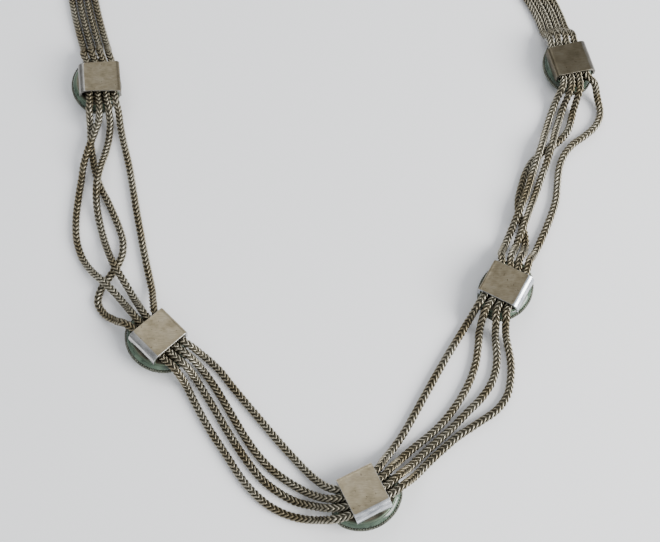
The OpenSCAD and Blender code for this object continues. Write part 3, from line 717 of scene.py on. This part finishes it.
def slide_strap(k):
    """The bent sheet round the four strands, a little uneven, with eased rims."""
    random = np.random.RandomState(RANDOM_SEED + k)
    half = CHANNEL_WIDTH / 2
    top = PLATE_TOP + CHANNEL_HEIGHT
    edge = STRAP_LENGTH / 2
    bow = random.uniform(-1, 1, 2) * STRAP_BOW
    skew = random.uniform(-1, 1) * STRAP_SKEW
    flat = [(x, 0) for x in np.linspace(-edge + STRAP_RIM, edge - STRAP_RIM, STRAP_ROWS)]
    rows = [(-edge, STRAP_RIM)] + flat + [(edge, STRAP_RIM)]
    points = []
    wear_and_painted_light = []
    for x, shrink in rows:
        foot = PLATE_TOP + shrink
        outer = strap_wall(STRAP_SHEET - shrink, [r - shrink for r in FOLD_RADII], foot)
        inner = strap_wall(shrink, [r - STRAP_SHEET + shrink for r in FOLD_RADII], foot)
        end = x / edge
        for y, z in list(reversed(outer)) + inner:
            share = (y + STRAP_SHIFT) / half
            at_ends = math.cos(BOW_WAVES[0] * share) * abs(end) ** BOW_SHARPNESS
            wave = bow[0] * at_ends + bow[1] * math.sin(BOW_WAVES[1] * share + end)
            points.append((x + end * skew * share, y, z + wave if z > top else z))
            # The outer fold takes a painted highlight, and the rims near the ends take polish
            fold = min(1, max(0, -share - FOLD_FROM) * FOLD_SHINE)
            wear_and_painted_light.append(min(1, abs(end) ** RIM_SHARPNESS + fold))
    sides = len(points) // len(rows)
    faces = loft_faces(len(rows), sides, ends=False)
    last = (len(rows) - 1) * sides
    for s in range(sides // 2 - 1):
        faces.append((s, sides - 1 - s, sides - 2 - s, s + 1))
        faces.append((last + s, last + s + 1, last + sides - 2 - s, last + sides - 1 - s))
    made = make_object(f"station_{k}_bent_strap", points, faces, MATERIALS[f"strap_{k}"], wear_and_painted_light)
    sharpen(made)
    settle(made, place_matrix(k), body_name(k), f"station_{k}_slide_strap")


def setting_plate(k, oval):
    """The oval sheet over the stone's back, with a rounded rim."""
    rim = PLATE_THICKNESS / 2
    profile = [(PLATE_FLAT, BACK_Z)]
    for n in range(PLATE_RIM_STEPS + 1):
        turn = -math.pi / 2 + math.pi * n / PLATE_RIM_STEPS
        profile.append((-BEVEL - rim + rim * math.cos(turn), BACK_Z + rim + rim * math.sin(turn)))
    profile.append((PLATE_FLAT, PLATE_TOP))
    points = oval_rings(oval, profile, OVAL_POINTS)
    faces = loft_faces(len(profile), OVAL_POINTS)
    wear_and_painted_light = np.repeat([0] + [1] * (PLATE_RIM_STEPS + 1) + [0], OVAL_POINTS)
    made = make_object(f"station_{k}_back_plate", points, faces, MATERIALS["oxidised"], wear_and_painted_light)
    sharpen(made)
    settle(made, stone_matrix(k), body_name(k), f"station_{k}_setting_plate")


def bezel(k, oval):
    """The oval wall round the stone, its upper rim cut into fine teeth that lean over it."""
    low = DOME_DEPTH - BEZEL_BELOW
    count = TEETH * TOOTH_POINTS
    points = []
    wear_and_painted_light = []
    for level, (grow, up, cut) in enumerate(BEZEL_PROFILE):
        for n, (x, y) in enumerate(oval.outline(count, grow)):
            beat = 0.5 - 0.5 * math.cos(2 * math.pi * n / TOOTH_POINTS)
            notch = (1 - beat) * cut * TOOTH_DEPTH
            pull = 1 - notch / math.hypot(x, y)
            points.append((x * pull, y * pull, low + up - notch))
            wear_and_painted_light.append(beat * level / len(BEZEL_PROFILE))
    faces = loft_faces(len(BEZEL_PROFILE), count, ends=False)
    closing = (len(BEZEL_PROFILE) - 1) * count
    faces += [(closing + s, closing + (s + 1) % count, (s + 1) % count, s) for s in range(count)]
    made = make_object(f"station_{k}_toothed_bezel", points, faces, MATERIALS["bezel"], wear_and_painted_light)
    settle(made, stone_matrix(k), body_name(k), f"station_{k}_bezel")


def stone(k, oval):
    """A cabochon: a smooth dome in front, a straight girdle and a bevelled flat back."""
    points = [(0, 0, 0)]
    for n in range(1, DOME_RINGS + 1):
        turn = math.pi / 2 * n / DOME_RINGS
        share = math.sin(turn)
        z = DOME_DEPTH * (1 - math.cos(turn))
        points += [(x * share, y * share, z) for x, y in oval.outline(OVAL_POINTS)]
    back = [(-BEVEL * inset, BACK_Z - BEVEL * below) for inset, below in BEVEL_PROFILE]
    points += oval_rings(oval, back, OVAL_POINTS)
    rings = DOME_RINGS + len(back)
    faces = [(0, 1 + (s + 1) % OVAL_POINTS, 1 + s) for s in range(OVAL_POINTS)]
    faces += loft_faces(rings, OVAL_POINTS, first=1, ends=False)
    faces.append(tuple(1 + (rings - 1) * OVAL_POINTS + s for s in range(OVAL_POINTS)))
    made = make_object(f"station_{k}_cabochon", points, faces, MATERIALS["stone"])
    sharpen(made)
    settle(made, stone_matrix(k), body_name(k), f"station_{k}_stone")


# ---- Ends and clasp, along +X from the mouth of the cap ----

def end_matrix(k):
    """From an end's own frame to the row frame."""
    heading = PLACES[k][2] + (180 if k == 0 else 0)
    turn = Matrix.Rotation(math.radians(heading), 4, "Z")
    return Matrix.Translation((PLACES[k][0], PLACES[k][1], 0)) @ turn


def rounded_box_ring(x, half_width, low, high, radius):
    """A ring of points at x: a rectangle with rounded corners, seen along the chain."""
    points = []
    for corner, (side, z) in enumerate([(1, high), (-1, high), (-1, low), (1, low)]):
        middle = (side * (half_width - radius), z - radius if z == high else z + radius)
        for n in range(CORNER_STEPS + 1):
            turn = math.pi / 2 * (corner + n / CORNER_STEPS)
            points.append((x, middle[0] + radius * math.cos(turn), middle[1] + radius * math.sin(turn)))
    return points


def cap_rows():
    """The cap's rings, from the bottom of its pocket round the mouth and over the bands to its
    nose: x, half width, lowest and highest z, and the corners' radius."""
    half = POCKET_WIDTH / 2
    body = half + CAP_WALL
    low = CAP_MID - CHANNEL_HEIGHT / 2
    high = CAP_HEIGHT - low
    rows = [
        (CAP_DEPTH, half, low, high, POCKET_CORNER),
        (CAP_EASE, half, low, high, POCKET_CORNER),
        (0, half + CAP_EASE, low - CAP_EASE, high + CAP_EASE, POCKET_CORNER + CAP_EASE),
        (0, body - CAP_EASE, CAP_EASE, CAP_HEIGHT - CAP_EASE, CAP_CORNER - CAP_EASE),
    ]
    for x, inset in CAP_BANDS:
        rows.append((x, body - inset, inset, CAP_HEIGHT - inset, CAP_CORNER))
    first = np.array(rows[-1])
    nose_x = EYE_X - EYE_MAJOR_R - NOSE_GAP
    last = np.array([nose_x, NOSE_HALF, EYE_Z - NOSE_HALF, EYE_Z + NOSE_HALF, NOSE_CORNER])
    for share in np.linspace(0, 1, CAP_TAPER_ROWS)[1:]:
        ease = share * share * (3 - 2 * share)
        row = first + (last - first) * ease
        row[0] = first[0] + (last[0] - first[0]) * share
        rows.append(tuple(row))
    return rows


def end_cap(k):
    """A hollow cap with two raised bands round its mouth, which narrows to an eye."""
    rows = cap_rows()
    points = []
    for row in rows:
        points += rounded_box_ring(*row)
    faces = loft_faces(len(rows), len(points) // len(rows))
    faces += ring_faces(EYE_STEPS, EYE_SIDES, len(points))
    stand = Matrix.Translation((EYE_X, 0, EYE_Z)) @ Matrix.Rotation(math.pi / 2, 4, "X")
    points += [stand @ Vector(p) for p in ring_points(EYE_MAJOR_R, EYE_MINOR_R, EYE_STEPS, EYE_SIDES)]
    name = body_name(k)
    made = make_object(f"{name}_tapered_cap", points, faces, MATERIALS["cap"])
    sharpen(made)
    settle(made, end_matrix(k), name, f"{name}_cap")


def wire_ring(name, matrix, radius, wire_r, body, node):
    """A plain ring of round wire."""
    points = ring_points(radius, wire_r, RING_STEPS, RING_SIDES)
    made = make_object(name, points, ring_faces(RING_STEPS, RING_SIDES), MATERIALS["bright"])
    settle(made, matrix, body, node)


def jump_ring():
    """The ring between the left cap's eye and the clasp."""
    matrix = end_matrix(CAPS[0]) @ Matrix.Translation((EYE_X + LINK_RADIUS, 0, EYE_Z))
    wire_ring("jump_ring", matrix, LINK_RADIUS, LINK_RING_WIRE_R, "clasp_link", "clasp_jump_ring")


def catch_ring():
    """The ring in the right cap's eye, which droops until its far side rests on the surface."""
    droop = math.asin((EYE_Z - CATCH_WIRE_R) / (2 * CATCH_RADIUS))
    at_eye = end_matrix(CAPS[1]) @ Matrix.Translation((EYE_X, 0, EYE_Z)) @ Matrix.Rotation(droop, 4, "Y")
    matrix = at_eye @ Matrix.Translation((CATCH_RADIUS, 0, 0))
    wire_ring("closing_ring", matrix, CATCH_RADIUS, CATCH_WIRE_R, "catch", "catch_ring")


def clasp_spring():
    """The coil spring in the clasp's tube."""
    matrix = end_matrix(CAPS[0]) @ Matrix.Translation((CASE_X, 0, TUBE_R))
    count = SPRING_TURNS * SPRING_STEPS
    points = []
    for n in range(count + 1):
        place = SPRING_FROM + (SPRING_TO - SPRING_FROM) * n / count
        radial = Vector(direction(place))
        ahead = Vector(direction(place + 90))
        turn = 2 * math.pi * n / SPRING_STEPS
        out = radial * math.cos(turn) + Vector((0, 0, math.sin(turn)))
        middle = radial * CASE_RADIUS + out * SPRING_RADIUS
        for s in range(SPRING_SIDES):
            round_wire = 2 * math.pi * s / SPRING_SIDES
            spoke = out * math.cos(round_wire) + ahead * math.sin(round_wire)
            points.append(middle + spoke * SPRING_WIRE_R)
    made = make_object("coil_spring", points, loft_faces(count + 1, SPRING_SIDES), MATERIALS["spring"])
    made.data.transform(matrix)
    made.data.update()
    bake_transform(made)
    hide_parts("clasp_spring")


def clasp():
    """The CAD model's case, bolt and thumb lever with better materials."""
    for node, material in (("clasp_case", "bright"), ("clasp_bolt", "bright"), ("clasp_thumb_lever", "cap")):
        made = frame["nodes"][node]
        made.data.materials.clear()
        made.data.materials.append(MATERIALS[material])
        sharpen(made)


# ---- Materials ----

MIX_FACTOR, MIX_A, MIX_B, MIX_RESULT = 0, 6, 7, 2  # the colour mix's sockets


def ramp(tree, value, stops):
    """Colours along a value: stops lists positions and linear colours or greys."""
    made = tree.nodes.new("ShaderNodeValToRGB")
    elements = made.color_ramp.elements
    for n, (position, colour) in enumerate(stops):
        element = elements[n] if n < 2 else elements.new(position)
        element.position = position
        if isinstance(colour, (int, float)):
            colour = (colour, colour, colour)
        element.color = (*colour, 1)
    tree.links.new(value, made.inputs["Fac"])
    return made.outputs["Color"]


def scaled(factor, colour):
    """A colour made brighter or darker."""
    return tuple(factor * c for c in colour)


def noise(tree, scale, detail=4.0, stretch=(1, 1, 1), seed=(0, 0, 0)):
    """Noise in the piece's own space, scale features to the metre."""
    nodes, links = tree.nodes, tree.links
    space = nodes.new("ShaderNodeTexCoord")
    mapping = nodes.new("ShaderNodeMapping")
    mapping.inputs["Scale"].default_value = stretch
    mapping.inputs["Location"].default_value = seed
    links.new(space.outputs["Object"], mapping.inputs["Vector"])
    made = nodes.new("ShaderNodeTexNoise")
    made.inputs["Scale"].default_value = scale
    made.inputs["Detail"].default_value = detail
    links.new(mapping.outputs["Vector"], made.inputs["Vector"])
    return made.outputs["Fac"]


def mixed(tree, kind, factor, a, b):
    """Mixes two colours; each may be a socket or a colour, and so may the factor."""
    made = tree.nodes.new("ShaderNodeMix")
    made.data_type = "RGBA"
    made.blend_type = kind
    for place, value in ((MIX_FACTOR, factor), (MIX_A, a), (MIX_B, b)):
        socket = made.inputs[place]
        if isinstance(value, bpy.types.NodeSocket):
            tree.links.new(value, socket)
        elif isinstance(value, tuple):
            socket.default_value = (*value, 1)
        else:
            socket.default_value = value
    return made.outputs[MIX_RESULT]


def wear_and_painted_light_value(tree):
    """How worn the surface is, from 0 to 1, as the mesh says; in the chain it is also painted shade, and on
    the straps' outer folds a painted highlight.
    """
    made = tree.nodes.new("ShaderNodeAttribute")
    made.attribute_name = "wear_and_painted_light"
    return made.outputs["Fac"]


def bumped(tree, shader, height, strength, distance):
    """Gives a shader relief from a height."""
    made = tree.nodes.new("ShaderNodeBump")
    made.inputs["Strength"].default_value = strength
    made.inputs["Distance"].default_value = distance
    tree.links.new(height, made.inputs["Height"])
    tree.links.new(made.outputs["Normal"], shader.inputs["Normal"])


def new_material(name, metallic, roughness):
    """A material, its node tree and its shader."""
    material = bpy.data.materials.new(name)
    material.use_nodes = True
    shader = material.node_tree.nodes["Principled BSDF"]
    shader.inputs["Metallic"].default_value = metallic
    shader.inputs["Roughness"].default_value = roughness
    return material, material.node_tree, shader


def chain_silver():
    """Silver wire, rubbed bright on its outer side and darker inward, to black-brown between the links:
    oxide with painted shade.
    """
    material, tree, shader = new_material("oxidised chain silver", metallic=1.0, roughness=0.3)
    wear_and_painted_light = wear_and_painted_light_value(tree)
    colour = ramp(tree, wear_and_painted_light, CHAIN_OXIDE_AND_SHADE)
    tarnish = ramp(tree, noise(tree, scale=160), [(0.35, (0.60, 0.53, 0.40)), (0.62, (1.0, 0.98, 0.92))])
    tree.links.new(mixed(tree, "MULTIPLY", 1.0, colour, tarnish), shader.inputs["Base Color"])
    tree.links.new(ramp(tree, wear_and_painted_light, [(0.5, 0.6), (0.95, 0.32)]), shader.inputs["Roughness"])
    bumped(tree, shader, noise(tree, scale=2500), strength=0.25, distance=0.00004)
    return material


def satin_silver(name, painted_brightness, polish_and_highlight, seed):
    """Worn satin sheet: warm tarnish in clouds, painted lighter or darker for each station as light falls on
    it, fine scratches and pits, streaked polish on its rims, and a painted highlight with a bluish painted
    reflection on its outer fold."""
    material, tree, shader = new_material(name, metallic=1.0, roughness=0.36)
    # The tarnish clouds, painted lighter or darker for this station as light falls on its strap
    tones = [(position, scaled(painted_brightness, colour)) for position, colour in STRAP_CLOUDS]
    clouds = ramp(tree, noise(tree, scale=420, detail=6, seed=(seed, 0, 0)), tones)
    scratches = noise(tree, scale=2600, detail=4, stretch=(0.35, 1.5, 1), seed=(0, seed, 0))
    fine = ramp(tree, scratches, [(0.40, (0.74, 0.72, 0.68)), (0.58, (1.0, 1.0, 1.0))])
    shade = mixed(tree, "MULTIPLY", 0.5, clouds, fine)
    spots = noise(tree, scale=1700, detail=2, seed=(seed, seed, 0))
    pits = ramp(tree, spots, [(0.27, (0.35, 0.32, 0.28)), (0.33, (1.0, 1.0, 1.0))])
    shade = mixed(tree, "MULTIPLY", 0.8, shade, pits)
    # Painted highlight: the outer fold's shine and the rims' polish, as strong as this station's strap is
    # lit
    rim = ramp(tree, wear_and_painted_light_value(tree), [(0.55, 0.0), (1.0, polish_and_highlight)])
    streaks = noise(tree, scale=1500, detail=3, stretch=(0.3, 0.3, 2), seed=(0, 0, seed))
    # Bluish streaks: polish on the rims, and a painted reflection of the light on the outer fold
    polish_and_reflection = ramp(tree, streaks, [(0.35, (0.42, 0.45, 0.50)), (0.6, (0.84, 0.87, 0.92))])
    tree.links.new(mixed(tree, "MIX", rim, shade, polish_and_reflection), shader.inputs["Base Color"])
    rough = ramp(tree, scratches, [(0.3, 0.46), (0.7, 0.28)])
    tree.links.new(mixed(tree, "MIX", rim, rough, (0.2, 0.2, 0.2)), shader.inputs["Roughness"])
    bumped(tree, shader, scratches, strength=0.35, distance=0.00003)
    return material


def dark_silver(name, base, edge, scale):
    """Oxidised silver: brown-black, with rubbed or weathered edges."""
    material, tree, shader = new_material(name, metallic=1.0, roughness=0.45)
    clouds = ramp(tree, noise(tree, scale, detail=6), [(0.35, base), (0.7, scaled(2.2, base))])
    rim = ramp(tree, wear_and_painted_light_value(tree), [(0.45, 0.0), (0.95, 0.75)])
    tree.links.new(mixed(tree, "MIX", rim, clouds, edge), shader.inputs["Base Color"])
    bumped(tree, shader, noise(tree, scale * 3, detail=3), strength=0.4, distance=0.00004)
    return material


def green_stone():
    """Polished opaque stone, dark sage green with paler clouds and dark flecks."""
    material, tree, shader = new_material("dark sage green stone", metallic=0.0, roughness=0.16)
    clouds = ramp(tree, noise(tree, scale=260, detail=8), STONE_CLOUDS)
    flecks = ramp(tree, noise(tree, scale=900, detail=5), [(0.36, (0.25, 0.3, 0.27)), (0.46, (1, 1, 1))])
    tree.links.new(mixed(tree, "MULTIPLY", 0.8, clouds, flecks), shader.inputs["Base Color"])
    shader.inputs["Coat Weight"].default_value = 0.4
    shader.inputs["Coat Roughness"].default_value = 0.08
    bumped(tree, shader, noise(tree, scale=700, detail=4), strength=0.15, distance=0.00005)
    return material


def clean_silver(name, colour, roughness):
    """Silver with light tarnish and fine wear."""
    material, tree, shader = new_material(name, metallic=1.0, roughness=roughness)
    clouds = ramp(tree, noise(tree, scale=350, detail=6), [(0.36, scaled(0.55, colour)), (0.58, colour)])
    tree.links.new(clouds, shader.inputs["Base Color"])
    wear = noise(tree, scale=1400, detail=4)
    rough = ramp(tree, wear, [(0.35, roughness * 1.5), (0.65, roughness * 0.85)])
    tree.links.new(rough, shader.inputs["Roughness"])
    bumped(tree, shader, wear, strength=0.2, distance=0.00003)
    return material


def plain_pale():
    """The floor's plain matt surface."""
    material, _, shader = new_material("plain pale floor", metallic=0.0, roughness=0.9)
    shader.inputs["Base Color"].default_value = (*FLOOR_COLOUR, 1)
    return material


MATERIALS = {
    "chain": chain_silver(),
    "oxidised": dark_silver(
        "oxidised plate silver", base=(0.075, 0.068, 0.050), edge=(0.13, 0.18, 0.13), scale=500
    ),
    "bezel": dark_silver(
        "oxidised bezel silver", base=(0.075, 0.078, 0.062), edge=(0.30, 0.32, 0.27), scale=700
    ),
    "stone": green_stone(),
    "cap": clean_silver("satin cap silver", (0.46, 0.43, 0.37), 0.32),
    "bright": clean_silver("polished clasp silver", (0.62, 0.60, 0.55), 0.2),
    "spring": clean_silver("spring wire", (0.5, 0.5, 0.5), 0.3),
    "floor": plain_pale(),
}
# One copy of the strap material for each station, each painted lighter or darker and with its own strength
# of painted highlight, as light falls on that strap
for k in STATIONS:
    MATERIALS[f"strap_{k}"] = satin_silver(f"satin strap silver {k}", *STRAP_PAINTED_LIGHT[k], CLOUD_SEED_STEP * k)


# ---- Stage ----

def floor():
    """A plain floor just below the necklace."""
    corners = [(-1, -1), (1, -1), (1, 1), (-1, 1)]
    points = [(x * FLOOR_HALF, y * FLOOR_HALF, 0) for x, y in corners]
    made = make_object("pale_floor", points, [(0, 1, 2, 3)], MATERIALS["floor"])
    made.location.z = -FLOOR_GAP


def area_light(name, location, size, energy, colour):
    """A square softbox that faces the middle of the necklace."""
    data = bpy.data.lights.new(name, "AREA")
    data.size = size
    data.energy = energy
    data.color = colour
    made = bpy.data.objects.new(name, data)
    made.location = location
    made.rotation_euler = (-Vector(location)).to_track_quat("-Z", "Y").to_euler()
    bpy.context.scene.collection.objects.link(made)


def world_light():
    """Soft light from all round, which brightens evenly from one side to the other."""
    world = bpy.data.worlds.new("studio")
    world.use_nodes = True
    tree = world.node_tree
    background = tree.nodes["Background"]
    space = tree.nodes.new("ShaderNodeTexCoord")
    turned = tree.nodes.new("ShaderNodeMapping")
    turned.inputs["Rotation"].default_value = (0, 0, math.radians(WORLD_TURN))
    tree.links.new(space.outputs["Generated"], turned.inputs["Vector"])
    apart = tree.nodes.new("ShaderNodeSeparateXYZ")
    tree.links.new(turned.outputs["Vector"], apart.inputs["Vector"])
    share = tree.nodes.new("ShaderNodeMapRange")
    share.inputs["From Min"].default_value = -1
    tree.links.new(apart.outputs["X"], share.inputs["Value"])
    tree.links.new(ramp(tree, share.outputs["Result"], WORLD_SKY), background.inputs["Color"])
    background.inputs["Strength"].default_value = WORLD_STRENGTH
    bpy.context.scene.world = world


def camera():
    """The photograph's view."""
    data = bpy.data.cameras.new("camera")
    data.lens = CAMERA_LENS
    data.sensor_width = CAMERA_SENSOR
    data.clip_start = CAMERA_NEAR
    made = bpy.data.objects.new("camera", data)
    made.location = CAMERA_AT
    made.rotation_euler = (math.radians(CAMERA_TILT), 0, 0)
    bpy.context.scene.collection.objects.link(made)
    bpy.context.scene.camera = made


# ---- Build ----

camera()
world_light()
for softbox in SOFTBOXES:
    area_light(*softbox)
floor()
for i in range(len(STRANDS)):
    strand = Strand(i)
    for k in range(len(SPAN_NAMES)):
        strand_piece(strand, i, k)
oval = Oval(STONE_HALF, OVAL_TIP)
for k in STATIONS:
    slide_strap(k)
    setting_plate(k, oval)
    bezel(k, oval)
    stone(k, oval)
for k in CAPS:
    end_cap(k)
jump_ring()
catch_ring()
clasp_spring()
clasp()
